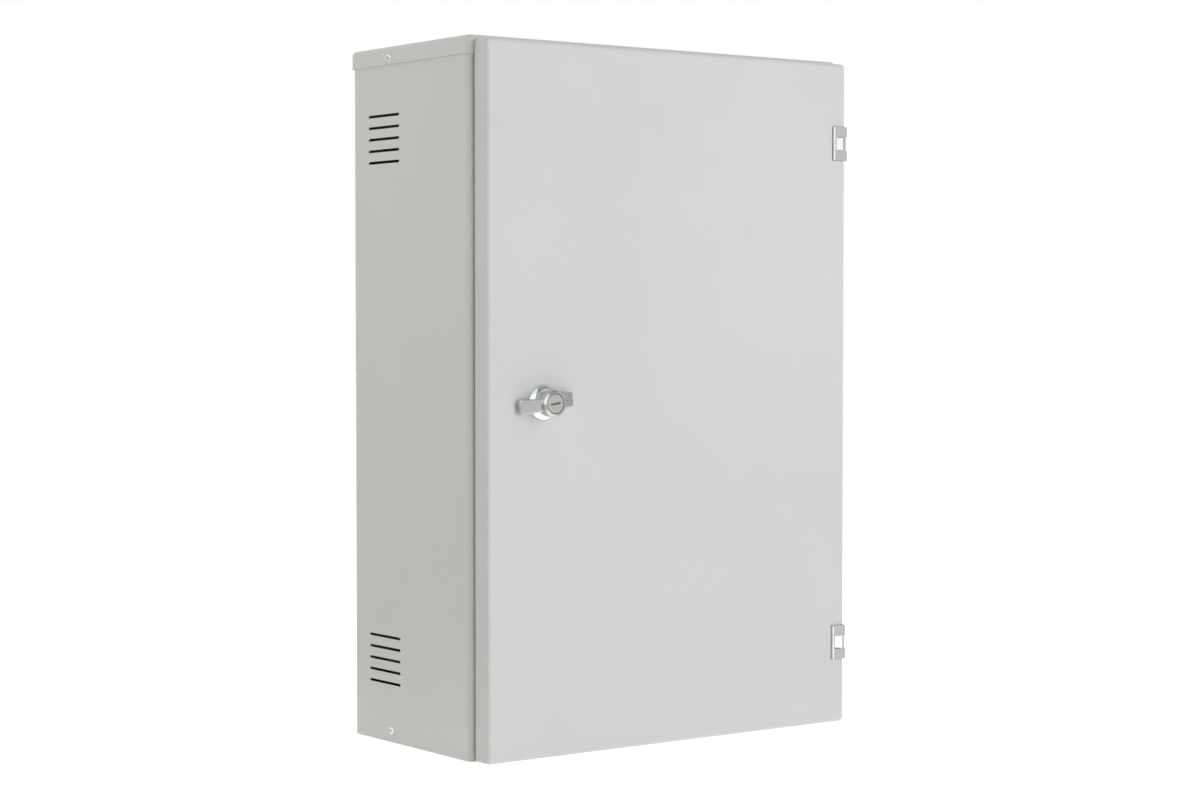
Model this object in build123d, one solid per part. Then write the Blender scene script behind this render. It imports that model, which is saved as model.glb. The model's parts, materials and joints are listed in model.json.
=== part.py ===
from build123d import *
import os

os.makedirs("parts", exist_ok=True)

# Wall-mounted sheet steel cabinet for telecom equipment, with one hinged door and a wing handle.
# Millimetres. X runs along the front, Y runs into the wall and Z is up, so the front faces -Y.
# The origin is the middle of the four wall holes, on the wall plane.

# Sheet metal
sheet = 1.2                  # painted steel sheet of body, roof and door
seam = 0.1                   # gap between two sheets that are welded or riveted together
edge_bend = 4.5              # outer radius of the folded edges
lip_bend = 2.2               # outer radius of the bend into the sealing lip
return_bend = 5.0            # outer radius of the back's top and bottom edges

# Body
height = 600.0               # bottom edge to top of roof
body_width = 400.0           # outside the side walls
body_depth = 183.1           # front flange plane to rear face of the back
boss_height = 1.6            # wall bosses hold the back off the wall by this much
gutter = 28.5                # width of the folded front frame at the sides
rim_gutter = 23.0            # width of the folded front frame at top and bottom
lip_reach = 12.0             # how far the sealing lip stands ahead of the frame
back_return = 15.0           # flange at the back's top and bottom
skirt = 16.0                 # height of the folded edges of floor tray and header
header_depth = 32.0          # how far the header runs back under the roof

# Roof
roof_fit = 0.3               # gap between roof flange and walls
roof_flange = 15.7           # depth of the roof's folded edge
roof_bend = 4.5              # outer radius of its edges and corners

# Vent slits in both side walls
slit_length = 50.0
slit_width = 2.4
slit_pitch = 10.0
slits_in_group = 5
upper_slits_down = 78.8      # top of the roof to the middle of the upper group
lower_slits_up = 70.8        # bottom edge to the middle of the lower group
slit_behind_front = 132.2    # front flange plane to the middle of a slit

# Wall holes and cable entry
wall_hole_in_x = 60.0        # from the outside of the walls
wall_hole_in_z = 50.0        # from the body's top and bottom
wall_hole_r = 4.5
boss_flat_r = 9.0
boss_foot_r = 13.0
cutout_x, cutout_y = 200.0, 70.0
cutout_behind_front = 96.0   # front flange plane to the middle of the floor cut-out
gland_margin = 16.0          # gland plate beyond the cut-out, all round
gland_thick = 1.5
grommet_count = 3
grommet_pitch = 62.0
grommet_bore_r = 12.5
grommet_hole_r = 16.0
grommet_lip = 3.5            # rubber beyond the hole's edge
grommet_lip_thick = 1.3

# Mounting plate
plate_margin_x = 35.0        # plate's edge to the outside of the walls
plate_margin_z = 65.0        # plate's edge to the body's top and bottom
plate_thick = 2.0
plate_fold = 10.0
plate_offset = 18.0          # back to plate
plate_stud_in = 20.0         # studs from the plate's edges
plate_stud_r = 4.0
spacer_r = 7.6
plate_nut_af = 13.0
plate_nut_thick = 6.5
hole_slack = 0.4             # radial gap of a hole round a stud, screw or rivet
thread_gap = 0.05            # radial gap of a nut on its stud
nut_crown = 1.13             # chamfered corners of a nut over its flats
nut_chamfer = 0.0625         # chamfer over flats

# Rivets and small fasteners
rivet_r = 2.0
rivet_head_r = 3.6
rivet_head = 1.7
rivet_tail = 3.0
rivet_core_r = 1.2
rivet_core_depth = 3.0       # hollow of the head, down to the broken pin
rivet_shoulder = 0.77        # bulge of the head's dome, as a share of radius and height
rivet_behind_front = 120.5   # roof rivets
rivet_below_top = 10.0
floor_rivet_behind_front = 121.5
floor_rivet_up = 10.2
screw_r = 2.5
screw_head_r = 4.6
screw_head = 2.6
earth_stud_r = 3.0
earth_stud_length = 20.0
earth_nut_af = 10.0
earth_nut_thick = 5.0
body_earth_x, body_earth_up = 120.0, 30.0
door_earth_gap = 1.5         # gasket to the corners of the earth nut
door_earth_in = 60.0         # from the hinge side

# Door
door_inset = 4.5             # door's side edges in from the outside of the walls
door_gap = 2.4               # frame to the door's rear edge
door_depth = 18.2
door_drop = 0.6              # door's lower edge below the body's
door_top_gap = 4.0           # below the top of the roof
door_bend = 3.5
door_return = 6.0
gasket_width = 10.0
gasket_gap = 0.3             # gasket to sealing lip
gasket_corner = 3.3          # inner corner radius
gasket_round = 2.0           # edges that meet the lip
buffer_r = 3.2
buffer_gap = 0.4
buffer_round = 0.8
buffer_in = 5.0              # from the door's edge

# Hinges, cast in two leaves and set in notches of the door's edge
upper_hinge_in = 72.0        # door's top to the middle of the upper hinge
lower_hinge_in = 72.8        # door's bottom to the middle of the lower hinge
hinge_height = 30.4
hinge_width = 15.5
hinge_proud = 3.0
hinge_web = 2.6
hinge_arm_proud = 2.3        # arms ahead of the door's face
hinge_web_round = 1.1
hinge_round = 0.9
window_round = 1.3
knuckle_gap = 12.0
knuckle_r = 3.0
knuckle_end_gap = 0.3
hinge_pin_r = 1.6
hinge_running = 0.05
axis_depth = 0.9             # hinge axis behind the door's face
notch_gap = 0.4
leaf_foot = 2.5
leaf_foot_reach = 13.0       # foot beyond the notch, up and down
leaf_foot_width = 15.0
strap_thick = 2.9
body_foot = 1.8
body_foot_height = 26.0
body_foot_width = 18.0
body_foot_rivet_span = 16.0
body_foot_rivet_in = 14.0
hinge_stud_r = 2.0
hinge_nut_af = 7.0
hinge_nut_thick = 3.0
hinge_stud_reach = 5.0       # beyond the foot's far end

# Lock
lock_in = 55.5               # door's left edge to the lock's axis
lock_drop = 1.3              # lock's axis below the middle of the door
dome_r = 15.4
dome_rim = 1.0
dome_height = 6.0
dome_top_r = 9.5
dome_shoulder = 4.3          # height of the dome halfway in
barrel_r = 10.0
barrel_length = 13.0         # behind the door sheet
spindle_r = 6.5
lock_running = 0.08
lock_nut_af = 27.0
lock_nut_thick = 5.0
washer_r = 15.0
washer_thick = 1.5
hub_gap = 0.4
hub_r = 11.0
hub_waist_r = 8.6
hub_face = 18.8              # hub's face ahead of the door's face
hub_bevel = 1.6
hub_sides = 12
wing_span = 54.0
wing_tip = 12.5
wing_root = 10.0
wing_root_low, wing_root_high = 7.4, 14.0   # ahead of the door's face, at the hub
wing_tip_low, wing_tip_high = 1.2, 5.6
wing_round = 2.2
wing_edge = 0.8
wing_tilt = 7.0              # degrees that the handle rests away from level
cylinder_r = 8.4
cylinder_depth = 11.0
cylinder_sink = 0.3
keyway_length = 9.5
keyway_width = 1.8
keyway_depth = 7.0
square = 8.0
square_gap = 0.1
cam_clear = 2.0              # cam to the rear face of the frame
cam_thick = 3.0
cam_width = 18.0
cam_reach = 42.0
cam_screw_r = 2.5
cam_screw_head_r = 5.0
cam_screw_head = 3.0
cam_screw_length = 9.0

# Planes and edges worked out from the values above
half_w = body_width / 2
door_half = half_w - door_inset
top_z, bottom_z = height / 2, -height / 2
wall_hole_span_x = body_width - 2 * wall_hole_in_x
wall_hole_span_z = height - 2 * wall_hole_in_z
slit_groups = [top_z - upper_slits_down, bottom_z + lower_slits_up]
back_y = -boss_height
front_y = back_y - body_depth
frame_rear_y = front_y + sheet
rim_face = top_z - sheet - seam                    # outer face of header and floor tray
lip_x = half_w - gutter                            # outer face of the side lips
lip_z = rim_face - rim_gutter                      # outer face of the top and bottom lips
lip_y = front_y - lip_reach
wall_top = top_z - roof_bend - seam
door_rear_y = front_y - door_gap
door_y = door_rear_y - door_depth                  # the door's face
door_in_y = door_y + sheet
door_bottom = bottom_z - door_drop
door_top = top_z - door_top_gap
door_mid = (door_bottom + door_top) / 2
hinge_x = door_half - knuckle_r
hinge_y = door_y + axis_depth
hinge_zs = [door_top - upper_hinge_in, door_bottom + lower_hinge_in]
hinge_left = door_half - hinge_width
lock_x, lock_z = -door_half + lock_in, door_mid - lock_drop
cam_y = frame_rear_y + cam_clear                   # front face of the latch cam
plate_y = back_y - sheet - plate_offset            # rear face of the mounting plate
plate_half_x = half_w - plate_margin_x
plate_half_z = top_z - plate_margin_z
floor_top = -rim_face + sheet
cutout_mid_y = front_y + cutout_behind_front
rivet_hole_r = rivet_r + seam


def block(x, y, z):
    """A box between two values on each axis."""
    size = (x[1] - x[0], y[1] - y[0], z[1] - z[0])
    middle = (sum(x) / 2, sum(y) / 2, sum(z) / 2)
    return Pos(*middle) * Box(*size)


def rod_y(x, y, z, r):
    """A cylinder along Y between y[0] and y[1]."""
    return Pos(x, sum(y) / 2, z) * Rot(90, 0, 0) * Cylinder(r, y[1] - y[0])


def rod_x(x, y, z, r):
    """A cylinder along X between x[0] and x[1]."""
    return Pos(sum(x) / 2, y, z) * Rot(0, 90, 0) * Cylinder(r, x[1] - x[0])


def rod_z(x, y, z, r):
    """A cylinder along Z between z[0] and z[1]."""
    return Pos(x, y, sum(z) / 2) * Cylinder(r, z[1] - z[0])


def turned(points):
    """A solid turned about Y from (radius, y) points."""
    outline = Polyline(*[(r, y, 0) for r, y in points], close=True)
    return revolve(make_face(outline), Axis.Y, 360)


def hexagon_y(x, y, z, across_flats):
    """A hexagonal prism along Y."""
    face = RegularPolygon(across_flats / 2, 6, major_radius=False)
    return Pos(x, y[1], z) * Rot(90, 0, 0) * extrude(face, y[1] - y[0])


def folded(plane, points, outer_radii, length):
    """Sheet folded along a mid-line, made symmetric about its plane."""
    mid_line = FilletPolyline(*points, radius=[r - sheet / 2 for r in outer_radii])
    return extrude(plane * trace(mid_line, sheet), length / 2, both=True)


def four_places(half_x, half_z):
    """The four corners of a rectangle round the origin."""
    return [(sx * half_x, sz * half_z) for sx in (-1, 1) for sz in (-1, 1)]


def slit_heights():
    """Height of every vent slit, both groups."""
    steps = [(n - (slits_in_group - 1) / 2) * slit_pitch for n in range(slits_in_group)]
    return [middle + step for middle in slit_groups for step in steps]


def wall_hole_places():
    return four_places(wall_hole_span_x / 2, wall_hole_span_z / 2)


def frame_rivet_places():
    """Rivets of both hinge leaves on the right frame, as (x, z)."""
    x = door_half - body_foot_rivet_in
    return [(x, z + step) for z in hinge_zs for step in (-body_foot_rivet_span / 2, body_foot_rivet_span / 2)]


def back_corner(side):
    """Round the rear edge at the top (side 1) or bottom (side -1) and fold the return flange."""
    edge_z = side * rim_face if side > 0 else bottom_z
    bend_y = back_y - return_bend
    bend_z = edge_z - side * return_bend
    full, between = (-half_w, half_w), (-half_w + edge_bend, half_w - edge_bend)
    beyond = bend_z + side * 2 * return_bend
    outside = block(full, (bend_y, back_y + boss_height), sorted((bend_z, beyond)))
    outside -= rod_x(full, bend_y, bend_z, return_bend)
    ring = rod_x(between, bend_y, bend_z, return_bend)
    ring -= rod_x(full, bend_y, bend_z, return_bend - sheet)
    ring &= block(full, (bend_y, back_y), sorted((bend_z, edge_z)))
    flat = block(between, (back_y - back_return, bend_y), sorted((edge_z - side * sheet, edge_z)))
    return outside, ring + flat


def body_shell():
    """Side walls, back and side frames folded from one sheet."""
    lip_mid = lip_x - sheet / 2
    wall_mid = half_w - sheet / 2
    frame_mid = front_y + sheet / 2
    back_mid = back_y - sheet / 2
    half = [(lip_mid, lip_y), (lip_mid, frame_mid), (wall_mid, frame_mid), (wall_mid, back_mid)]
    points = [(-x, y) for x, y in half] + list(reversed(half))
    bends = [lip_bend, edge_bend, edge_bend]
    mid_line = FilletPolyline(*points, radius=[r - sheet / 2 for r in bends + bends[::-1]])
    shell = Pos(0, 0, bottom_z) * extrude(trace(mid_line, sheet), wall_top - bottom_z)
    # The side lips stop where the top and bottom lips cross them
    inner = lip_x + lip_bend
    lip_end = lip_z - sheet - seam
    for span in ((lip_end, top_z), (bottom_z, -lip_end)):
        shell -= block((-inner, inner), (lip_y, frame_rear_y + lip_bend), span)
    for side in (1, -1):
        outside, flange = back_corner(side)
        shell = shell - outside + flange
    slit = extrude(Plane.YZ * SlotOverall(slit_length, slit_width), body_width, both=True)
    for z in slit_heights():
        shell -= Pos(0, front_y + slit_behind_front, z) * slit
    boss = turned([(wall_hole_r, 0), (boss_flat_r, 0), (boss_foot_r, back_y), (boss_foot_r, back_y - sheet),
                   (boss_flat_r, -sheet), (wall_hole_r, -sheet)])
    for x, z in wall_hole_places():
        shell -= rod_y(x, (back_y - sheet, back_y), z, boss_foot_r)
        shell += Pos(x, 0, z) * boss
    across = (-half_w, half_w)
    shell -= rod_x(across, front_y + rivet_behind_front, top_z - rivet_below_top, rivet_hole_r)
    shell -= rod_x(across, front_y + floor_rivet_behind_front, bottom_z + floor_rivet_up, rivet_hole_r)
    for x, z in frame_rivet_places():
        shell -= rod_y(x, (front_y, frame_rear_y), z, rivet_hole_r)
    return shell


def rim_member(rear_y, rear_fold):
    """Floor tray or header as seen the floor's way up: lip, frame, plate and folded edges."""
    frame_mid = front_y + sheet / 2
    plate_mid = -rim_face + sheet / 2
    lip_mid = -lip_z + sheet / 2
    rear_mid = rear_y - sheet / 2
    fold_z = -rim_face + skirt
    across = folded(Plane.YZ, [(lip_y, lip_mid), (frame_mid, lip_mid), (frame_mid, plate_mid),
                               (rear_mid, plate_mid), (rear_mid, fold_z)],
                    [lip_bend, edge_bend, rear_fold], 2 * (lip_x + lip_bend - 2 * seam))
    side_mid = half_w - sheet - seam - sheet / 2
    start, end = front_y + edge_bend, rear_y - rear_fold
    along = folded(Plane.XZ, [(-side_mid, fold_z), (-side_mid, plate_mid), (side_mid, plate_mid),
                              (side_mid, fold_z)], [edge_bend, edge_bend], end - start)
    return across + Pos(0, (start + end) / 2, 0) * along


def floor_tray():
    """Floor with its lip and frame, the cut-out and its screw holes."""
    tray = rim_member(back_y - sheet - seam, return_bend - sheet - seam)
    half_x, half_y = cutout_x / 2, cutout_y / 2
    tray -= block((-half_x, half_x), (cutout_mid_y - half_y, cutout_mid_y + half_y), (bottom_z, floor_top))
    for x, y in gland_screw_places():
        tray -= rod_z(x, y, (bottom_z, floor_top), screw_r + thread_gap)
    rivet_y = front_y + floor_rivet_behind_front
    return tray - rod_x((-half_w, half_w), rivet_y, bottom_z + floor_rivet_up, rivet_hole_r)


def header_rail():
    """The same member turned over, cut short behind the frame."""
    return mirror(rim_member(front_y + header_depth, edge_bend), Plane.XY)


def roof_cap():
    """Formed tray that drops over the walls."""
    over = roof_fit + sheet
    x = (-half_w - over, half_w + over)
    y = (front_y - over, back_y + over)
    z = (top_z - roof_flange, top_z)
    cap = block(x, y, z)
    cap = fillet(cap.edges().filter_by(Axis.Z) + cap.faces().sort_by(Axis.Z)[-1].edges(), roof_bend)
    inside = block((x[0] + sheet, x[1] - sheet), (y[0] + sheet, y[1] - sheet), (z[0] - sheet, z[1] - sheet))
    rounded = inside.edges().filter_by(Axis.Z) + inside.faces().sort_by(Axis.Z)[-1].edges()
    cap -= fillet(rounded, roof_bend - sheet)
    return cap - rod_x(x, front_y + rivet_behind_front, top_z - rivet_below_top, rivet_hole_r)


def blind_rivet(grip):
    """Blind rivet along -Y with a domed, hollow head; the head seats on y = 0."""
    shoulder = (rivet_head_r * rivet_shoulder, -rivet_head * rivet_shoulder, 0)
    dome = ThreePointArc((rivet_head_r, 0, 0), shoulder, (rivet_core_r, -rivet_head, 0))
    core_end, tail_end = rivet_core_depth - rivet_head, grip + rivet_tail
    rest = Polyline((rivet_core_r, -rivet_head, 0), (rivet_core_r, core_end, 0), (0, core_end, 0),
                    (0, tail_end, 0), (rivet_r, tail_end, 0), (rivet_r, 0, 0), (rivet_head_r, 0, 0))
    return revolve(make_face(dome + rest), Axis.Y, 360)


def side_rivets(face_x, grip, y, z):
    """One rivet through each side wall, heads outside."""
    left = Pos(-face_x, y, z) * Rot(0, 0, -90) * blind_rivet(grip)
    right = Pos(face_x, y, z) * Rot(0, 0, 90) * blind_rivet(grip)
    return Compound(children=[left, right])


def gland_screw_places():
    """Screws of the gland plate, as (x, y)."""
    x = cutout_x / 2 + gland_margin / 2
    y = cutout_y / 2 + gland_margin / 2
    return [(sx * x, cutout_mid_y + sy * y) for sx in (-1, 1) for sy in (-1, 1)]


def grommet_places():
    """Middles of the cable grommets, as (x, y)."""
    return [((n - (grommet_count - 1) / 2) * grommet_pitch, cutout_mid_y) for n in range(grommet_count)]


def gland_plate():
    """Plate over the floor's cut-out, with holes for grommets and screws."""
    half_x, half_y = cutout_x / 2 + gland_margin, cutout_y / 2 + gland_margin
    plate = block((-half_x, half_x), (cutout_mid_y - half_y, cutout_mid_y + half_y),
                  (floor_top, floor_top + gland_thick))
    for x, y in grommet_places():
        plate -= rod_z(x, y, (floor_top, floor_top + gland_thick), grommet_hole_r)
    for x, y in gland_screw_places():
        plate -= rod_z(x, y, (floor_top, floor_top + gland_thick), screw_r + hole_slack)
    return plate


def cable_grommets():
    """Rubber rings that snap into the gland plate."""
    outer = grommet_hole_r + grommet_lip
    low, high = floor_top - seam, floor_top + gland_thick + seam
    rings = []
    for x, y in grommet_places():
        ring = rod_z(x, y, (low - grommet_lip_thick, high + grommet_lip_thick), outer)
        groove = rod_z(x, y, (low, high), outer + seam) - rod_z(x, y, (low, high), grommet_hole_r - seam)
        bore = rod_z(x, y, (low - grommet_lip_thick, high + grommet_lip_thick), grommet_bore_r)
        rings.append(ring - groove - bore)
    return Compound(children=rings)


def gland_screws():
    """Pan head screws that hold the gland plate to the floor."""
    seat = floor_top + gland_thick
    screws = []
    for x, y in gland_screw_places():
        head = rod_z(x, y, (seat, seat + screw_head), screw_head_r)
        head = fillet(head.edges().sort_by(Axis.Z)[-1], screw_head / 2)
        screws.append(head + rod_z(x, y, (bottom_z + seam, seat), screw_r))
    return Compound(children=screws)


def plate_stud_places():
    return four_places(plate_half_x - plate_stud_in, plate_half_z - plate_stud_in)


def mounting_plate():
    """Flat plate with its top and bottom edges folded forward."""
    across = (-plate_half_x, plate_half_x)
    front = plate_y - plate_thick
    plate = block(across, (front, plate_y), (-plate_half_z, plate_half_z))
    for side in (-1, 1):
        span = sorted((side * plate_half_z, side * (plate_half_z - plate_thick)))
        plate += block(across, (front - plate_fold, front), span)
    plate = fillet(plate.edges().filter_by(Axis.X).sort_by(Axis.Y)[-2:], plate_thick)
    for x, z in plate_stud_places():
        plate -= rod_y(x, (front, plate_y), z, plate_stud_r + hole_slack)
    return plate


def mounting_studs():
    """Weld studs on the back, long enough for spacer, plate and nut."""
    y = (plate_y - plate_thick - plate_nut_thick - plate_stud_r, back_y - sheet)
    return Compound(children=[rod_y(x, y, z, plate_stud_r) for x, z in plate_stud_places()])


def mounting_spacers():
    """Tubes between the back and the mounting plate."""
    y = (plate_y, back_y - sheet)
    spacers = []
    for x, z in plate_stud_places():
        spacers.append(rod_y(x, y, z, spacer_r) - rod_y(x, y, z, plate_stud_r + hole_slack))
    return Compound(children=spacers)


def nut(x, y, z, across_flats, bore_r):
    """Hexagon nut along Y with chamfered corners."""
    body = hexagon_y(x, y, z, across_flats)
    crown = rod_y(x, y, z, nut_crown * across_flats / 2)
    crown = chamfer(crown.edges().filter_by(GeomType.CIRCLE), nut_chamfer * across_flats)
    return (body & crown) - rod_y(x, y, z, bore_r)


def mounting_nuts():
    y = (plate_y - plate_thick - plate_nut_thick, plate_y - plate_thick)
    bore = plate_stud_r + thread_gap
    return Compound(children=[nut(x, y, z, plate_nut_af, bore) for x, z in plate_stud_places()])


def body_earth():
    """Earth stud on the back, with its nut."""
    x, z = body_earth_x, bottom_z + body_earth_up
    y = back_y - sheet
    stud = rod_y(x, (y - earth_stud_length, y), z, earth_stud_r)
    nut_y = (y - earth_stud_length / 2, y - earth_stud_length / 2 + earth_nut_thick)
    return stud, nut(x, nut_y, z, earth_nut_af, earth_stud_r + thread_gap)


def hinge_body_leaf(z):
    """Knuckle, strap and foot of the leaf on the frame."""
    half = knuckle_gap / 2 - knuckle_end_gap
    leaf = rod_z(hinge_x, hinge_y, (z - half, z + half), knuckle_r)
    strap_x = (door_half - seam - strap_thick, door_half - seam)
    leaf += block(strap_x, (hinge_y, front_y), (z - half, z + half))
    foot_z = (z - body_foot_height / 2, z + body_foot_height / 2)
    foot = block((door_half - body_foot_width, door_half - seam), (front_y - body_foot, front_y), foot_z)
    leaf += fillet(foot.edges().filter_by(Axis.Y), body_foot)
    leaf -= rod_z(hinge_x, hinge_y, (z - half, z + half), hinge_pin_r + hinge_running)
    for x, spot in frame_rivet_places():
        leaf -= rod_y(x, (front_y - body_foot, front_y), spot, rivet_hole_r)
    return leaf


def hinge_pin(z):
    """Pin through both arms and the knuckle, chamfered at its ends."""
    half = hinge_height / 2 - hinge_web / 2
    pin = rod_z(hinge_x, hinge_y, (z - half, z + half), hinge_pin_r)
    return chamfer(pin.edges().filter_by(GeomType.CIRCLE), hinge_pin_r / 4)


def body_hinge_rivets():
    """Blind rivets that hold the frame leaves."""
    rivet = blind_rivet(body_foot + sheet)
    return Compound(children=[Pos(x, front_y - body_foot, z) * rivet for x, z in frame_rivet_places()])


def hinge_stud_place(z, side):
    """Middle of the leaf's foot above (side 1) or below (side -1) the notch."""
    return hinge_foot_right() - leaf_foot_width / 2, z + side * (hinge_height + leaf_foot_reach) / 2


def hinge_foot_right():
    return door_half - door_bend - seam


def hinge_door_leaf(z):
    """Cast leaf of the door: web, two arms round the pin and a foot behind the door sheet."""
    rear = door_in_y + leaf_foot
    half = hinge_height / 2
    web = block((hinge_left, hinge_left + hinge_web), (door_y - hinge_proud, rear), (z - half, z + half))
    web = fillet(web.faces().sort_by(Axis.Y)[0].edges(), hinge_web_round)
    arms = block((hinge_left + hinge_web_round, door_half), (door_y - hinge_arm_proud, rear), (z - half, z + half))
    right_front = arms.edges().filter_by(Axis.Z).group_by(Axis.Y)[0].sort_by(Axis.X)[-1]
    casting = web + fillet(right_front, hinge_round)
    gap_z = (z - knuckle_gap / 2, z + knuckle_gap / 2)
    window = block((hinge_left + hinge_web, half_w), (door_y - 2 * hinge_proud, rear), gap_z)
    casting -= fillet(window.edges().filter_by(Axis.Y).sort_by(Axis.X)[:2], window_round)
    right = hinge_foot_right()
    foot_half = half + leaf_foot_reach
    foot = block((right - leaf_foot_width, right), (door_in_y, rear), (z - foot_half, z + foot_half))
    foot = fillet(foot.edges().filter_by(Axis.Y), leaf_foot)
    foot -= block((right - 2 * leaf_foot_width, right), (door_in_y, rear), (z - half, z + half))
    casting += foot
    casting -= rod_z(hinge_x, hinge_y, (z - half, z + half), hinge_pin_r + hinge_running)
    for side in (-1, 1):
        x, spot = hinge_stud_place(z, side)
        casting -= rod_y(x, (door_in_y, rear), spot, hinge_stud_r + hole_slack)
    return casting


def door_hinge_fixings():
    """Weld studs behind the door's face and their nuts."""
    studs, nuts = [], []
    seat = door_in_y + leaf_foot
    for z in hinge_zs:
        for side in (-1, 1):
            x, spot = hinge_stud_place(z, side)
            studs.append(rod_y(x, (door_in_y, seat + hinge_stud_reach), spot, hinge_stud_r))
            nuts.append(nut(x, (seat, seat + hinge_nut_thick), spot, hinge_nut_af, hinge_stud_r + thread_gap))
    return Compound(children=studs), Compound(children=nuts)


def door_panel():
    """Pan with folded walls, a narrow return behind, hinge notches and the lock hole."""
    x, z = (-door_half, door_half), (door_bottom, door_top)
    pan = block(x, (door_y, door_rear_y), z)
    pan = fillet(pan.edges().filter_by(Axis.Y) + pan.faces().sort_by(Axis.Y)[0].edges(), door_bend)
    inside = block((x[0] + sheet, x[1] - sheet), (door_in_y, door_rear_y - sheet), (z[0] + sheet, z[1] - sheet))
    rounded = inside.edges().filter_by(Axis.Y) + inside.faces().sort_by(Axis.Y)[0].edges()
    inside = fillet(rounded, door_bend - sheet)
    mouth = block((x[0] + door_return, x[1] - door_return), (door_in_y + door_bend, door_rear_y),
                  (z[0] + door_return, z[1] - door_return))
    pan = pan - inside - mouth
    reach = hinge_height / 2 + notch_gap
    for middle in hinge_zs:
        pan -= block((hinge_left - notch_gap, door_half), (door_y, door_rear_y), (middle - reach, middle + reach))
    return pan - rod_y(lock_x, (door_y, door_in_y), lock_z, barrel_r + seam)


def door_gasket():
    """Foam ring behind the door's face that meets the sealing lip."""
    half_x = lip_x - sheet / 2
    half_z = lip_z - sheet / 2
    side = gasket_width / 2
    y = (door_in_y, lip_y - gasket_gap)
    ring = block((-half_x - side, half_x + side), y, (-half_z - side, half_z + side))
    ring = fillet(ring.edges().filter_by(Axis.Y), gasket_width)
    hole = block((-half_x + side, half_x - side), y, (-half_z + side, half_z - side))
    ring -= fillet(hole.edges().filter_by(Axis.Y), gasket_corner)
    rear = ring.faces().sort_by(Axis.Y)[-1]
    return fillet(rear.edges(), gasket_round)


def door_buffer():
    """Soft stop on the door's rear edge, on the lock side, level with the lower hinge."""
    pad = rod_y(-door_half + buffer_in, (door_rear_y, front_y - buffer_gap), hinge_zs[1], buffer_r)
    return fillet(pad.edges().sort_by(Axis.Y)[-1], buffer_round)


def door_earth():
    """Earth stud low on the door's inside, just above the gasket, with its nut."""
    x = door_half - door_earth_in
    gasket_edge = -lip_z + sheet / 2 + gasket_width / 2
    z = gasket_edge + door_earth_gap + nut_crown * earth_nut_af / 2
    stud = rod_y(x, (door_in_y, door_rear_y), z, earth_stud_r)
    nut_y = (door_rear_y - earth_nut_thick - seam, door_rear_y - seam)
    return stud, nut(x, nut_y, z, earth_nut_af, earth_stud_r + thread_gap)


def lock_place():
    return Pos(lock_x, door_y, lock_z)


def lock_housing():
    """Domed escutcheon with a threaded barrel through the door."""
    bore = spindle_r + lock_running
    shoulder = (dome_r + dome_top_r) / 2 + dome_rim
    dome = ThreePointArc((dome_r, -dome_rim, 0), (shoulder, -dome_shoulder, 0), (dome_top_r, -dome_height, 0))
    inner_end = sheet + barrel_length
    rest = Polyline((dome_top_r, -dome_height, 0), (bore, -dome_height, 0), (bore, inner_end, 0),
                    (barrel_r, inner_end, 0), (barrel_r, 0, 0), (dome_r, 0, 0), (dome_r, -dome_rim, 0))
    return lock_place() * revolve(make_face(dome + rest), Axis.Y, 360)


def lock_washer():
    """Washer behind the door sheet."""
    y = (door_in_y, door_in_y + washer_thick)
    return rod_y(lock_x, y, lock_z, washer_r) - rod_y(lock_x, y, lock_z, barrel_r + seam)


def lock_nut():
    """Nut on the lock's barrel."""
    y = (door_in_y + washer_thick, door_in_y + washer_thick + lock_nut_thick)
    return nut(lock_x, y, lock_z, lock_nut_af, barrel_r + thread_gap)


def wing_blade():
    """Both wings as one bar that falls from the hub to its tips, broadest at the tips."""
    tip, root = wing_tip / 2, wing_root / 2
    end = wing_span / 2
    outline = Polyline((-end, -tip), (0, -root), (end, -tip), (end, tip), (0, root), (-end, tip), close=True)
    face = make_face(outline)
    face = fillet(face.vertices().sort_by(Axis.X)[-2:], wing_round)
    face = fillet(face.vertices().sort_by(Axis.X)[:2], wing_round)
    seen = extrude(Plane.XZ * face, hub_face)
    start = hub_waist_r
    section = [(start, -wing_root_low), (end, -wing_tip_low), (end, -wing_tip_high), (start, -wing_root_high)]
    points = section + [(-x, y) for x, y in reversed(section)]
    fall = extrude(make_face(Polyline(*points, close=True)), wing_tip, both=True)
    blade = seen & fall
    tips = blade.edges().filter_by(Axis.Z)
    tips = [edge for edge in tips if abs(edge.center().X) > end - wing_round]
    return fillet(tips, wing_edge)


def wing_handle():
    """Hub with two wings on a spindle that ends in a square for the cam."""
    base = -(dome_height + hub_gap)
    hub = turned([(0, base), (hub_waist_r, base), (hub_r, base - 2 * hub_bevel), (hub_r, -hub_face + hub_bevel),
                  (hub_r - hub_bevel, -hub_face), (0, -hub_face)])
    facets = extrude(Plane.XZ * RegularPolygon(hub_r, hub_sides, major_radius=False), hub_face)
    hub = (hub & facets) + wing_blade()
    spindle_end = cam_y - door_y - seam
    hub += rod_y(0, (base, spindle_end), 0, spindle_r)
    end = spindle_end + cam_thick + seam
    hub += block((-square / 2, square / 2), (spindle_end, end), (-square / 2, square / 2))
    hub -= rod_y(0, (-hub_face, -hub_face + cylinder_depth), 0, cylinder_r + lock_running)
    hub -= rod_y(0, (end - cam_screw_length, end), 0, cam_screw_r + thread_gap)
    return lock_place() * Rot(0, -wing_tilt, 0) * hub


def key_cylinder():
    """Cylinder in the hub's face, with a slot for the key."""
    face, rear = -hub_face + cylinder_sink, -hub_face + cylinder_depth - seam
    core = rod_y(0, (face, rear), 0, cylinder_r)
    core = chamfer(core.edges().sort_by(Axis.Y)[0], cylinder_sink)
    slot = block((-keyway_length / 2, keyway_length / 2), (face, face + keyway_depth),
                 (-keyway_width / 2, keyway_width / 2))
    return lock_place() * Rot(0, -wing_tilt, 0) * (core - slot)


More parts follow.
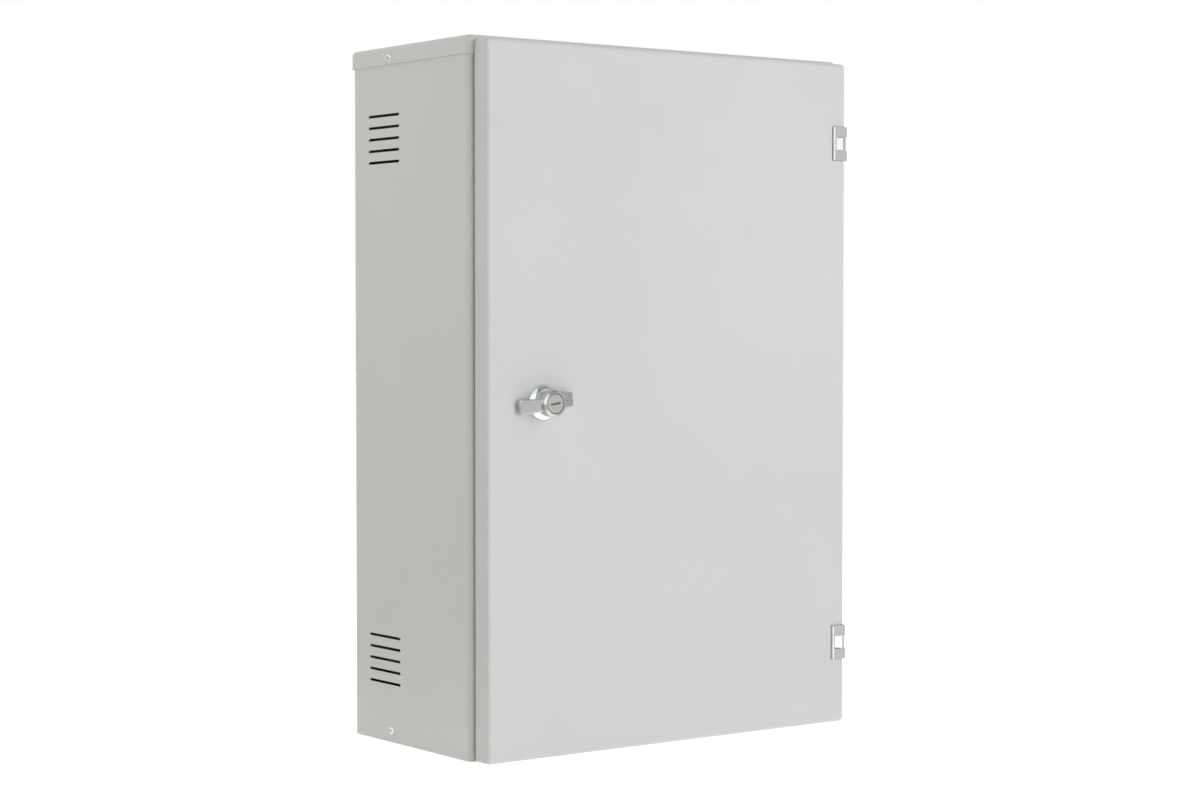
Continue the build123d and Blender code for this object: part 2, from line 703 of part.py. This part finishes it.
def latch_cam():
    """Flat cam that hangs below the spindle, with a square hole."""
    y = (cam_y, cam_y + cam_thick)
    root = cam_width / 2
    cam = rod_y(0, y, 0, root) + block((-root, root), y, (-cam_reach + root, 0))
    cam += rod_y(0, y, -cam_reach + root, root)
    half = square / 2 + square_gap
    cam -= block((-half, half), y, (-half, half))
    return Pos(lock_x, 0, lock_z) * Rot(0, -wing_tilt, 0) * cam


def cam_screw():
    seat = cam_y + cam_thick
    head = rod_y(0, (seat, seat + cam_screw_head), 0, cam_screw_head_r)
    head = fillet(head.edges().sort_by(Axis.Y)[-1], cam_screw_head / 2)
    head += rod_y(0, (seat - cam_screw_length + seam, seat), 0, cam_screw_r)
    return Pos(lock_x, 0, lock_z) * Rot(0, -wing_tilt, 0) * head


def write(name, solid):
    """Write one named node."""
    solid.label = name
    export_step(solid, f"parts/{name}.step")


def main():
    write("body_shell", body_shell())
    write("floor_tray", floor_tray())
    write("header_rail", header_rail())
    write("roof_cap", roof_cap())
    roof_x = half_w + roof_fit + sheet
    roof_rivet_y, floor_rivet_y = front_y + rivet_behind_front, front_y + floor_rivet_behind_front
    write("roof_rivets", side_rivets(roof_x, roof_fit + 2 * sheet, roof_rivet_y, top_z - rivet_below_top))
    write("floor_rivets", side_rivets(half_w, 2 * sheet + seam, floor_rivet_y, bottom_z + floor_rivet_up))
    write("gland_plate", gland_plate())
    write("gland_plate_screws", gland_screws())
    write("cable_grommets", cable_grommets())
    write("mounting_plate", mounting_plate())
    write("mounting_studs", mounting_studs())
    write("mounting_spacers", mounting_spacers())
    write("mounting_nuts", mounting_nuts())
    stud, stud_nut = body_earth()
    write("body_earth_stud", stud)
    write("body_earth_nut", stud_nut)
    for name, z in zip(("upper", "lower"), hinge_zs):
        write(f"{name}_hinge_frame_leaf", hinge_body_leaf(z))
        write(f"{name}_hinge_pin", hinge_pin(z))
        write(f"{name}_hinge_door_leaf", hinge_door_leaf(z))
    write("hinge_rivets", body_hinge_rivets())
    studs, nuts = door_hinge_fixings()
    write("hinge_studs", studs)
    write("hinge_nuts", nuts)
    write("door_panel", door_panel())
    write("door_gasket", door_gasket())
    write("door_buffer", door_buffer())
    stud, stud_nut = door_earth()
    write("door_earth_stud", stud)
    write("door_earth_nut", stud_nut)
    write("lock_housing", lock_housing())
    write("lock_washer", lock_washer())
    write("lock_nut", lock_nut())
    write("wing_handle", wing_handle())
    write("key_cylinder", key_cylinder())
    write("latch_cam", latch_cam())
    write("cam_screw", cam_screw())


main()
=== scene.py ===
import json
import math

import bpy
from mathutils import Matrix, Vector


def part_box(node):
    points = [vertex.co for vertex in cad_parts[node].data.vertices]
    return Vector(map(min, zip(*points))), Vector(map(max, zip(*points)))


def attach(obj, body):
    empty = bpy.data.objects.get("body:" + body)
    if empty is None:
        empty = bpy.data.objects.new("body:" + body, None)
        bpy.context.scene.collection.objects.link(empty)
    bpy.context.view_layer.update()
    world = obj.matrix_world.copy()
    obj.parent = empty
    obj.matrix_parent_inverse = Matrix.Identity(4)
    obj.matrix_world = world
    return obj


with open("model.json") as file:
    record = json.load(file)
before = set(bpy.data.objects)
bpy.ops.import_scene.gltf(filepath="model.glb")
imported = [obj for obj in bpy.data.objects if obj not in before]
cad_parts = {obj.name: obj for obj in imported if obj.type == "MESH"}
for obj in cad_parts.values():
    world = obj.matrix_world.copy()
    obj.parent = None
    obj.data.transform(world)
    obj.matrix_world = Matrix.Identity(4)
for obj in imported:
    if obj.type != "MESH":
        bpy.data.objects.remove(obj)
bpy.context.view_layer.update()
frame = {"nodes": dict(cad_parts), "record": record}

# Camera, solved from the straight edges of the cabinet in the photograph
PHOTO_WIDTH = 1200
SENSOR = 36.0
FOCAL_PIXELS = 2558.5
CAMERA_PLACE = (-1.3650, -1.9421, 0.0711)
CAMERA_YAW, CAMERA_PITCH = 36.474, -1.933
CLIP_NEAR, CLIP_FAR = 0.05, 60.0

WHITE = (1.0, 1.0, 1.0)
# Span that holds most values of a noise pattern
NOISE_LOW, NOISE_HIGH = 0.3, 0.7

# Powder coat: tone, patterns, share and span of the dark specks, roughness and bumps
PAINT = (0.690, 0.698, 0.660)
PAINT_CLOUD = dict(scale=5.0, detail=3.0, rough=0.55)
PAINT_GRAIN = dict(scale=900.0, detail=2.0, rough=0.6)
PAINT_PEEL = dict(scale=420.0, detail=1.5, rough=0.5)
PAINT_DARKER, PAINT_LIGHTER, PAINT_SPECK = 0.975, 1.02, 0.93
SPECK_SHARE = 0.35
SPECK_SPAN = (0.55, 0.8)
PAINT_ROUGH = (0.36, 0.44)
PEEL_BUMP = dict(distance=0.00006, strength=0.5)
GRAIN_BUMP = dict(distance=0.00002, strength=0.4)
PAINT_SPECULAR, PAINT_COAT, PAINT_COAT_ROUGH = 0.65, 0.08, 0.12

# Metals: tone, span of roughness, and the factor that dulls the clouded patches
METALS = {
    "rivets": dict(tone=(0.82, 0.82, 0.80), rough=(0.22, 0.32), dull=0.95, metallic=0.5),
    "hinge_zinc": dict(tone=(0.78, 0.79, 0.80), rough=(0.20, 0.30), dull=0.93),
    "lock_chrome": dict(tone=(0.74, 0.76, 0.79), rough=(0.04, 0.09), dull=0.95),
    "handle_zinc": dict(tone=(0.63, 0.625, 0.615), rough=(0.20, 0.32), dull=0.9),
    "cylinder_face": dict(tone=(0.66, 0.63, 0.60), rough=(0.24, 0.40), dull=0.93,
                          brush=(80.0, 80.0, 2500.0)),
    "plated_steel": dict(tone=(0.62, 0.61, 0.57), rough=(0.25, 0.42), dull=0.82),
}
METAL_CLOUD = dict(scale=60.0, detail=3.0, rough=0.6)
METAL_GRAIN = dict(scale=1500.0, detail=2.0, rough=0.6)
BRUSH_GRAIN = dict(scale=1.0, detail=2.0, rough=0.6)
METAL_BUMP = dict(distance=0.00001, strength=0.35)

# Zinc spangle: cells per metre, the darkest and lightest tone, and where they are reached
SPANGLE_CELLS = 140.0
SPANGLE_DARK, SPANGLE_LIGHT = (0.50, 0.52, 0.54), (0.66, 0.68, 0.70)
SPANGLE_SPAN = (0.1, 0.9)
SPANGLE_ROUGH = (0.32, 0.5)
SPANGLE_GRAIN = dict(scale=700.0, detail=2.0, rough=0.5)
SPANGLE_BUMP = dict(distance=0.00001, strength=0.4)

# Rubber, foam and soft plastic: tone, scale of the pores and middle roughness
RUBBERS = {
    "gasket_foam": dict(tone=(0.025, 0.025, 0.027), pores=1800.0, rough=0.85),
    "grommet_rubber": dict(tone=(0.018, 0.018, 0.018), pores=900.0, rough=0.6),
    "buffer": dict(tone=(0.55, 0.55, 0.53), pores=700.0, rough=0.45),
}
PORE_DETAIL = dict(detail=3.0, rough=0.65)
PORE_DARKER, PORE_LIGHTER = 0.7, 1.25
PORE_ROUGH = 0.1
PORE_BUMP = dict(distance=0.00015, strength=0.6)

# Painted shade in the parting ring of the key cylinder: how far inside the edge the painted dark begins and
# is full
CYLINDER_R = 0.0084
GAP_SHADE_BEGINS, GAP_SHADE_FULL = 0.0006, 0.0004
GAP_SHADE_TONE = (0.05, 0.05, 0.05)

# Cheek of each frame leaf, which fills the hinge's window beside the knuckle
CHEEK_SLOPE = math.radians(33)
KNUCKLE_R = 0.0030
CHEEK_LEFT = 0.0092
CHEEK_HALF = 0.0055
CHEEK_BEVEL = 0.0003
CHEEK_THICK = 0.0011
CHEEK_ROLL_STEPS = 8

# Floor: height, reach, tone, and its own light to the camera, to matt pieces and to reflections
FLOOR = min(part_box("body_shell")[0].z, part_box("door_panel")[0].z)
FLOOR_REACH = 12.0
FLOOR_TONE = 0.80
FLOOR_GLOW = 0.62
FLOOR_BOUNCE = 0.32
FLOOR_MIRROR = 0.8
# Spans of X over which the light to reflections rises and falls again
MIRROR_RISE, MIRROR_FALL = (-0.42, -0.26), (0.15, 0.35)

# Brightness of the studio by height of the ray, from the floor side to the ceiling
STUDIO = [(0.0, 0.48), (0.42, 0.51), (0.50, 0.52), (0.62, 0.54), (0.80, 0.73), (1.0, 1.30)]
# The same by direction, from the rear over the left, the front and the right back to the rear
STUDIO_AROUND = [
    (0.0, 0.95), (0.15, 1.13), (0.24, 1.10), (0.30, 0.25),
    (0.43, 0.25), (0.56, 0.85), (0.70, 0.95), (1.0, 0.9),
]
# What reflections show instead, by height and by direction
ROOM = [(0.0, 0.80), (0.46, 0.90), (0.50, 1.0), (0.80, 1.0), (0.86, 0.60), (1.0, 0.60)]
ROOM_AROUND = [
    (0.0, 1.30), (0.20, 1.30), (0.30, 1.90), (0.345, 2.20), (0.352, 0.50),
    (0.362, 0.50), (0.370, 2.20), (0.425, 2.00), (0.45, 0.50), (0.54, 0.50),
    (0.57, 0.72), (0.64, 0.72), (0.69, 0.50), (0.90, 0.60), (1.0, 1.30),
]

# The one lamp, cool and left out of reflections
KEY_PLACE, KEY_TARGET = (0.95, -2.7, 0.35), (0.0, 0.0, -0.05)
KEY_SIZE = (0.7, 2.2)
KEY_WATTS = 33.3
KEY_COLOUR = (0.855, 0.89, 1.0)


def make_camera():
    camera = bpy.data.objects.new("camera", bpy.data.cameras.new("camera"))
    bpy.context.scene.collection.objects.link(camera)
    camera.data.sensor_width = SENSOR
    camera.data.lens = FOCAL_PIXELS / PHOTO_WIDTH * SENSOR
    camera.data.clip_start, camera.data.clip_end = CLIP_NEAR, CLIP_FAR
    camera.location = CAMERA_PLACE
    camera.rotation_mode = "XYZ"
    camera.rotation_euler = (math.radians(90 + CAMERA_PITCH), 0.0, -math.radians(CAMERA_YAW))
    bpy.context.scene.camera = camera


# Node helpers

def empty_material(name):
    material = bpy.data.materials.new(name)
    material.use_nodes = True
    tree = material.node_tree
    tree.nodes.clear()
    return material, tree, tree.nodes.new("ShaderNodeOutputMaterial")


def new_material(name):
    material, tree, output = empty_material(name)
    shader = tree.nodes.new("ShaderNodeBsdfPrincipled")
    tree.links.new(shader.outputs[0], output.inputs["Surface"])
    return material, tree, shader


def feed(tree, value, socket):
    """Links another node's socket, or sets a plain value."""
    if isinstance(value, bpy.types.NodeSocket):
        tree.links.new(value, socket)
    else:
        socket.default_value = value


def coordinates(tree, scale=(1.0, 1.0, 1.0)):
    place = tree.nodes.new("ShaderNodeTexCoord")
    mapping = tree.nodes.new("ShaderNodeMapping")
    mapping.inputs["Scale"].default_value = scale
    tree.links.new(place.outputs["Object"], mapping.inputs["Vector"])
    return mapping.outputs[0]


def noise(tree, where, scale, detail, rough):
    node = tree.nodes.new("ShaderNodeTexNoise")
    node.inputs["Scale"].default_value = scale
    node.inputs["Detail"].default_value = detail
    node.inputs["Roughness"].default_value = rough
    tree.links.new(where, node.inputs["Vector"])
    return node.outputs["Fac"]


def spread(tree, value, first, last, start=NOISE_LOW, end=NOISE_HIGH):
    """Maps the span from start to end onto the span from first to last."""
    node = tree.nodes.new("ShaderNodeMapRange")
    node.inputs["From Min"].default_value = start
    node.inputs["From Max"].default_value = end
    node.inputs["To Min"].default_value = first
    node.inputs["To Max"].default_value = last
    tree.links.new(value, node.inputs["Value"])
    return node.outputs["Result"]


def mix(tree, fac, first, second):
    """Blend of two tones or sockets."""
    node = tree.nodes.new("ShaderNodeMix")
    node.data_type = "RGBA"
    colours = [socket for socket in node.inputs if socket.type == "RGBA"]
    for socket, value in zip(colours, (first, second)):
        feed(tree, (*value, 1.0) if isinstance(value, tuple) else value, socket)
    tree.links.new(fac, node.inputs[0])
    return [socket for socket in node.outputs if socket.type == "RGBA"][0]


def bump(tree, height, distance, strength, normal=None):
    node = tree.nodes.new("ShaderNodeBump")
    node.inputs["Distance"].default_value = distance
    node.inputs["Strength"].default_value = strength
    tree.links.new(height, node.inputs["Height"])
    if normal is not None:
        tree.links.new(normal, node.inputs["Normal"])
    return node.outputs["Normal"]


def math_node(tree, operation, first, second):
    node = tree.nodes.new("ShaderNodeMath")
    node.operation = operation
    for socket, value in zip(node.inputs, (first, second)):
        feed(tree, value, socket)
    return node.outputs[0]


def vector_node(tree, operation, *values):
    node = tree.nodes.new("ShaderNodeVectorMath")
    node.operation = operation
    for socket, value in zip(node.inputs, values):
        feed(tree, value, socket)
    return node


def parted(tree, vector):
    """X, Y and Z of a vector."""
    node = tree.nodes.new("ShaderNodeSeparateXYZ")
    tree.links.new(vector, node.inputs[0])
    return node.outputs


def ramp(tree, value, stops):
    """Grey ramp from (position, level) stops, whose levels may pass 1."""
    top = max(level for _, level in stops)
    node = tree.nodes.new("ShaderNodeValToRGB")
    bar = node.color_ramp
    bar.elements[0].position, bar.elements[1].position = stops[0][0], stops[-1][0]
    for where, _ in stops[1:-1]:
        bar.elements.new(where)
    for element, (where, level) in zip(bar.elements, stops):
        element.position = where
        element.color = (level / top, level / top, level / top, 1)
    tree.links.new(value, node.inputs["Fac"])
    return math_node(tree, "MULTIPLY", node.outputs["Color"], top)


def times(tone, factor):
    """The tone made darker or lighter, up to white."""
    return tuple(min(1.0, part * factor) for part in tone)


# Materials

def powder_coat(name, tone):
    """Semi-gloss powder coat: orange peel, fine grain and a barely uneven tone."""
    material, tree, shader = new_material(name)
    where = coordinates(tree)
    cloud = noise(tree, where, **PAINT_CLOUD)
    grain = noise(tree, where, **PAINT_GRAIN)
    peel = noise(tree, where, **PAINT_PEEL)
    colour = mix(tree, spread(tree, cloud, 0.0, 1.0), times(tone, PAINT_DARKER), times(tone, PAINT_LIGHTER))
    colour = mix(tree, spread(tree, grain, 0.0, SPECK_SHARE, *SPECK_SPAN), colour, times(tone, PAINT_SPECK))
    tree.links.new(colour, shader.inputs["Base Color"])
    tree.links.new(spread(tree, cloud, *PAINT_ROUGH), shader.inputs["Roughness"])
    surface = bump(tree, peel, **PEEL_BUMP)
    tree.links.new(bump(tree, grain, normal=surface, **GRAIN_BUMP), shader.inputs["Normal"])
    shader.inputs["Specular IOR Level"].default_value = PAINT_SPECULAR
    shader.inputs["Coat Weight"].default_value = PAINT_COAT
    shader.inputs["Coat Roughness"].default_value = PAINT_COAT_ROUGH
    return material


def metal(name, tone, rough, dull, brush=None, metallic=1.0):
    """Metal with uneven roughness, and brush marks where brush gives a stretched scale."""
    material, tree, shader = new_material(name)
    where = coordinates(tree)
    cloud = noise(tree, where, **METAL_CLOUD)
    if brush:
        marks = noise(tree, coordinates(tree, brush), **BRUSH_GRAIN)
    else:
        marks = noise(tree, where, **METAL_GRAIN)
    colour = mix(tree, spread(tree, cloud, 0.0, 1.0), times(tone, dull), tone)
    tree.links.new(colour, shader.inputs["Base Color"])
    tree.links.new(spread(tree, marks, *rough), shader.inputs["Roughness"])
    tree.links.new(bump(tree, marks, **METAL_BUMP), shader.inputs["Normal"])
    shader.inputs["Metallic"].default_value = metallic
    return material


def paint_gap_shade(material, node):
    """Paints shade into the parting ring between the cylinder's face and the hub around it, as a dark band
    at the face's edge.
    """
    tree = material.node_tree
    shader = [n for n in tree.nodes if n.type == "BSDF_PRINCIPLED"][0]
    corners = [Vector(corner) for corner in node.bound_box]
    # Corners 0 and 6 of a bounding box lie opposite each other
    middle = (corners[0] + corners[6]) / 2
    place = tree.nodes.new("ShaderNodeTexCoord")
    away = vector_node(tree, "SUBTRACT", place.outputs["Object"], middle).outputs[0]
    flat = vector_node(tree, "MULTIPLY", away, (1.0, 0.0, 1.0)).outputs[0]
    reach = vector_node(tree, "LENGTH", flat).outputs["Value"]
    ring = spread(tree, reach, 0.0, 1.0, CYLINDER_R - GAP_SHADE_BEGINS, CYLINDER_R - GAP_SHADE_FULL)
    plain = shader.inputs["Base Color"].links[0].from_socket
    # painted shade: a near-black tone mixed into the face's colour at its edge, where the gap's shade falls
    tree.links.new(mix(tree, ring, plain, GAP_SHADE_TONE), shader.inputs["Base Color"])


def galvanised(name):
    """Zinc spangle: cells of slightly different tone and roughness."""
    material, tree, shader = new_material(name)
    where = coordinates(tree)
    cells = tree.nodes.new("ShaderNodeTexVoronoi")
    cells.inputs["Scale"].default_value = SPANGLE_CELLS
    tree.links.new(where, cells.inputs["Vector"])
    tone = tree.nodes.new("ShaderNodeRGBToBW")
    tree.links.new(cells.outputs["Color"], tone.inputs[0])
    colour = mix(tree, spread(tree, tone.outputs[0], 0.0, 1.0, *SPANGLE_SPAN), SPANGLE_DARK, SPANGLE_LIGHT)
    tree.links.new(colour, shader.inputs["Base Color"])
    tree.links.new(spread(tree, tone.outputs[0], *SPANGLE_ROUGH, *SPANGLE_SPAN), shader.inputs["Roughness"])
    grain = noise(tree, where, **SPANGLE_GRAIN)
    tree.links.new(bump(tree, grain, **SPANGLE_BUMP), shader.inputs["Normal"])
    shader.inputs["Metallic"].default_value = 1.0
    return material


def rubber(name, tone, pores, rough):
    """Matt rubber, foam or soft plastic, with pores at the given scale."""
    material, tree, shader = new_material(name)
    pore = noise(tree, coordinates(tree), pores, **PORE_DETAIL)
    colour = mix(tree, spread(tree, pore, 0.0, 1.0), times(tone, PORE_DARKER), times(tone, PORE_LIGHTER))
    tree.links.new(colour, shader.inputs["Base Color"])
    tree.links.new(spread(tree, pore, rough - PORE_ROUGH, rough + PORE_ROUGH), shader.inputs["Roughness"])
    tree.links.new(bump(tree, pore, **PORE_BUMP), shader.inputs["Normal"])
    return material


def make_materials():
    """One material for each slot of the record."""
    made = {name: powder_coat(name, PAINT) for name in ("body_paint", "door_paint")}
    made.update({name: metal(name, **recipe) for name, recipe in METALS.items()})
    made.update({name: rubber(name, **recipe) for name, recipe in RUBBERS.items()})
    made["galvanised"] = galvanised("galvanised")
    # paints shade into the key cylinder's parting ring
    paint_gap_shade(made["cylinder_face"], frame["nodes"]["key_cylinder"])
    return made


def dress_nodes(materials):
    slots = {part["node"]: part["material_slot"] for part in frame["record"]["subparts"]}
    for name, node in frame["nodes"].items():
        node.data.materials.clear()
        node.data.materials.append(materials[slots[name]])


# Cheeks of the hinges

def cheek_outline(axis_x, axis_y):
    """Plate that leaves the knuckle at a tangent and falls back to the left, with a rolled left edge."""
    slope = Vector((-math.cos(CHEEK_SLOPE), math.sin(CHEEK_SLOPE)))
    normal = Vector((-math.sin(CHEEK_SLOPE), -math.cos(CHEEK_SLOPE)))
    start = Vector((axis_x, axis_y)) + normal * KNUCKLE_R
    half = CHEEK_THICK / 2
    length = (CHEEK_LEFT - KNUCKLE_R * math.sin(CHEEK_SLOPE)) / math.cos(CHEEK_SLOPE) - half
    end = start + slope * length
    points = [start, start + slope * length / 2, end]
    for step in range(1, CHEEK_ROLL_STEPS):
        turn = math.pi * step / CHEEK_ROLL_STEPS
        points.append(end - normal * half + normal * half * math.cos(turn) + slope * half * math.sin(turn))
    return points + [end - normal * CHEEK_THICK, start - normal * CHEEK_THICK]


def make_cheek(side, materials):
    """The outline drawn upwards, with bevelled ends, as a piece of the frame's leaf."""
    pin_low, pin_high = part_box(side + "_hinge_pin")
    axis = (pin_low + pin_high) / 2
    outline = cheek_outline(axis.x, axis.y)
    middle = sum(outline, Vector((0.0, 0.0))) / len(outline)
    rings = []
    for height, inset in ((-1, CHEEK_BEVEL), (-1, 0.0), (1, 0.0), (1, CHEEK_BEVEL)):
        z = axis.z + height * (CHEEK_HALF - CHEEK_BEVEL + inset)
        rings.append([(*(point + (middle - point).normalized() * inset), z) for point in outline])
    count = len(outline)
    faces = [tuple(range(count)), tuple(range(4 * count - 1, 3 * count - 1, -1))]
    for low in range(0, 3 * count, count):
        for i in range(count):
            j = (i + 1) % count
            faces.append((low + j, low + i, low + count + i, low + count + j))
    mesh = bpy.data.meshes.new(side + "_hinge_cheek")
    mesh.from_pydata([corner for ring in rings for corner in ring], [], faces)
    mesh.materials.append(materials["hinge_zinc"])
    cheek = bpy.data.objects.new(side + "_hinge_cheek", mesh)
    bpy.context.scene.collection.objects.link(cheek)
    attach(cheek, "cabinet")


# Floor, world and lamp

def floor_material():
    """Matt white with its own light, which differs for the camera, for matt pieces and for reflections."""
    material, tree, output = empty_material("floor")
    diffuse = tree.nodes.new("ShaderNodeBsdfDiffuse")
    diffuse.inputs["Color"].default_value = (*times(WHITE, FLOOR_TONE), 1.0)
    glow = tree.nodes.new("ShaderNodeEmission")
    glow.inputs["Color"].default_value = (*WHITE, 1.0)
    rays = tree.nodes.new("ShaderNodeLightPath")
    seen = math_node(tree, "MULTIPLY", rays.outputs["Is Camera Ray"], FLOOR_GLOW)
    thrown = math_node(tree, "MULTIPLY", rays.outputs["Is Diffuse Ray"], FLOOR_BOUNCE)
    place = tree.nodes.new("ShaderNodeNewGeometry")
    across = parted(tree, place.outputs["Position"])["X"]
    rise = spread(tree, across, 0.0, FLOOR_MIRROR, *MIRROR_RISE)
    fall = spread(tree, across, 1.0, 0.0, *MIRROR_FALL)
    strip = math_node(tree, "MULTIPLY", rise, fall)
    mirrored = math_node(tree, "MULTIPLY", rays.outputs["Is Glossy Ray"], strip)
    level = math_node(tree, "ADD", math_node(tree, "ADD", seen, thrown), mirrored)
    tree.links.new(level, glow.inputs["Strength"])
    both = tree.nodes.new("ShaderNodeAddShader")
    tree.links.new(diffuse.outputs[0], both.inputs[0])
    tree.links.new(glow.outputs[0], both.inputs[1])
    tree.links.new(both.outputs[0], output.inputs["Surface"])
    return material


def make_floor():
    """Pale floor that keeps a soft shadow."""
    mesh = bpy.data.meshes.new("floor")
    corners = [(-1, -1), (1, -1), (1, 1), (-1, 1)]
    mesh.from_pydata([(x * FLOOR_REACH, y * FLOOR_REACH, FLOOR) for x, y in corners], [], [(0, 1, 2, 3)])
    mesh.materials.append(floor_material())
    floor = bpy.data.objects.new("floor", mesh)
    bpy.context.scene.collection.objects.link(floor)


def make_world():
    """White to the camera, a soft studio to matt surfaces and a structured room to reflections."""
    world = bpy.data.worlds.new("studio")
    bpy.context.scene.world = world
    world.use_nodes = True
    tree = world.node_tree
    tree.nodes.clear()
    output = tree.nodes.new("ShaderNodeOutputWorld")
    background = tree.nodes.new("ShaderNodeBackground")
    where = tree.nodes.new("ShaderNodeTexCoord")
    ray = parted(tree, where.outputs["Generated"])
    height = spread(tree, ray["Z"], 0.0, 1.0, -1.0, 1.0)
    turn = math_node(tree, "ARCTAN2", ray["X"], math_node(tree, "MULTIPLY", ray["Y"], -1.0))
    turn = spread(tree, turn, 0.0, 1.0, -math.pi, math.pi)
    matt = math_node(tree, "MULTIPLY", ramp(tree, height, STUDIO), ramp(tree, turn, STUDIO_AROUND))
    mirrored = math_node(tree, "MULTIPLY", ramp(tree, height, ROOM), ramp(tree, turn, ROOM_AROUND))
    rays = tree.nodes.new("ShaderNodeLightPath")
    room = mix(tree, rays.outputs["Is Glossy Ray"], matt, mirrored)
    colour = mix(tree, rays.outputs["Is Camera Ray"], room, WHITE)
    tree.links.new(colour, background.inputs["Color"])
    tree.links.new(background.outputs[0], output.inputs["Surface"])


def make_lamp():
    light = bpy.data.lights.new("key_box", "AREA")
    light.shape = "RECTANGLE"
    light.size, light.size_y = KEY_SIZE
    light.energy = KEY_WATTS
    light.color = KEY_COLOUR
    lamp = bpy.data.objects.new("key_box", light)
    bpy.context.scene.collection.objects.link(lamp)
    lamp.location = KEY_PLACE
    lamp.rotation_euler = (Vector(KEY_TARGET) - Vector(KEY_PLACE)).to_track_quat("-Z", "Y").to_euler()
    lamp.visible_glossy = False


make_camera()
make_world()
make_floor()
make_lamp()
materials = make_materials()
dress_nodes(materials)
for side in ("upper", "lower"):
    make_cheek(side, materials)
bpy.context.scene.view_settings.view_transform = "Standard"
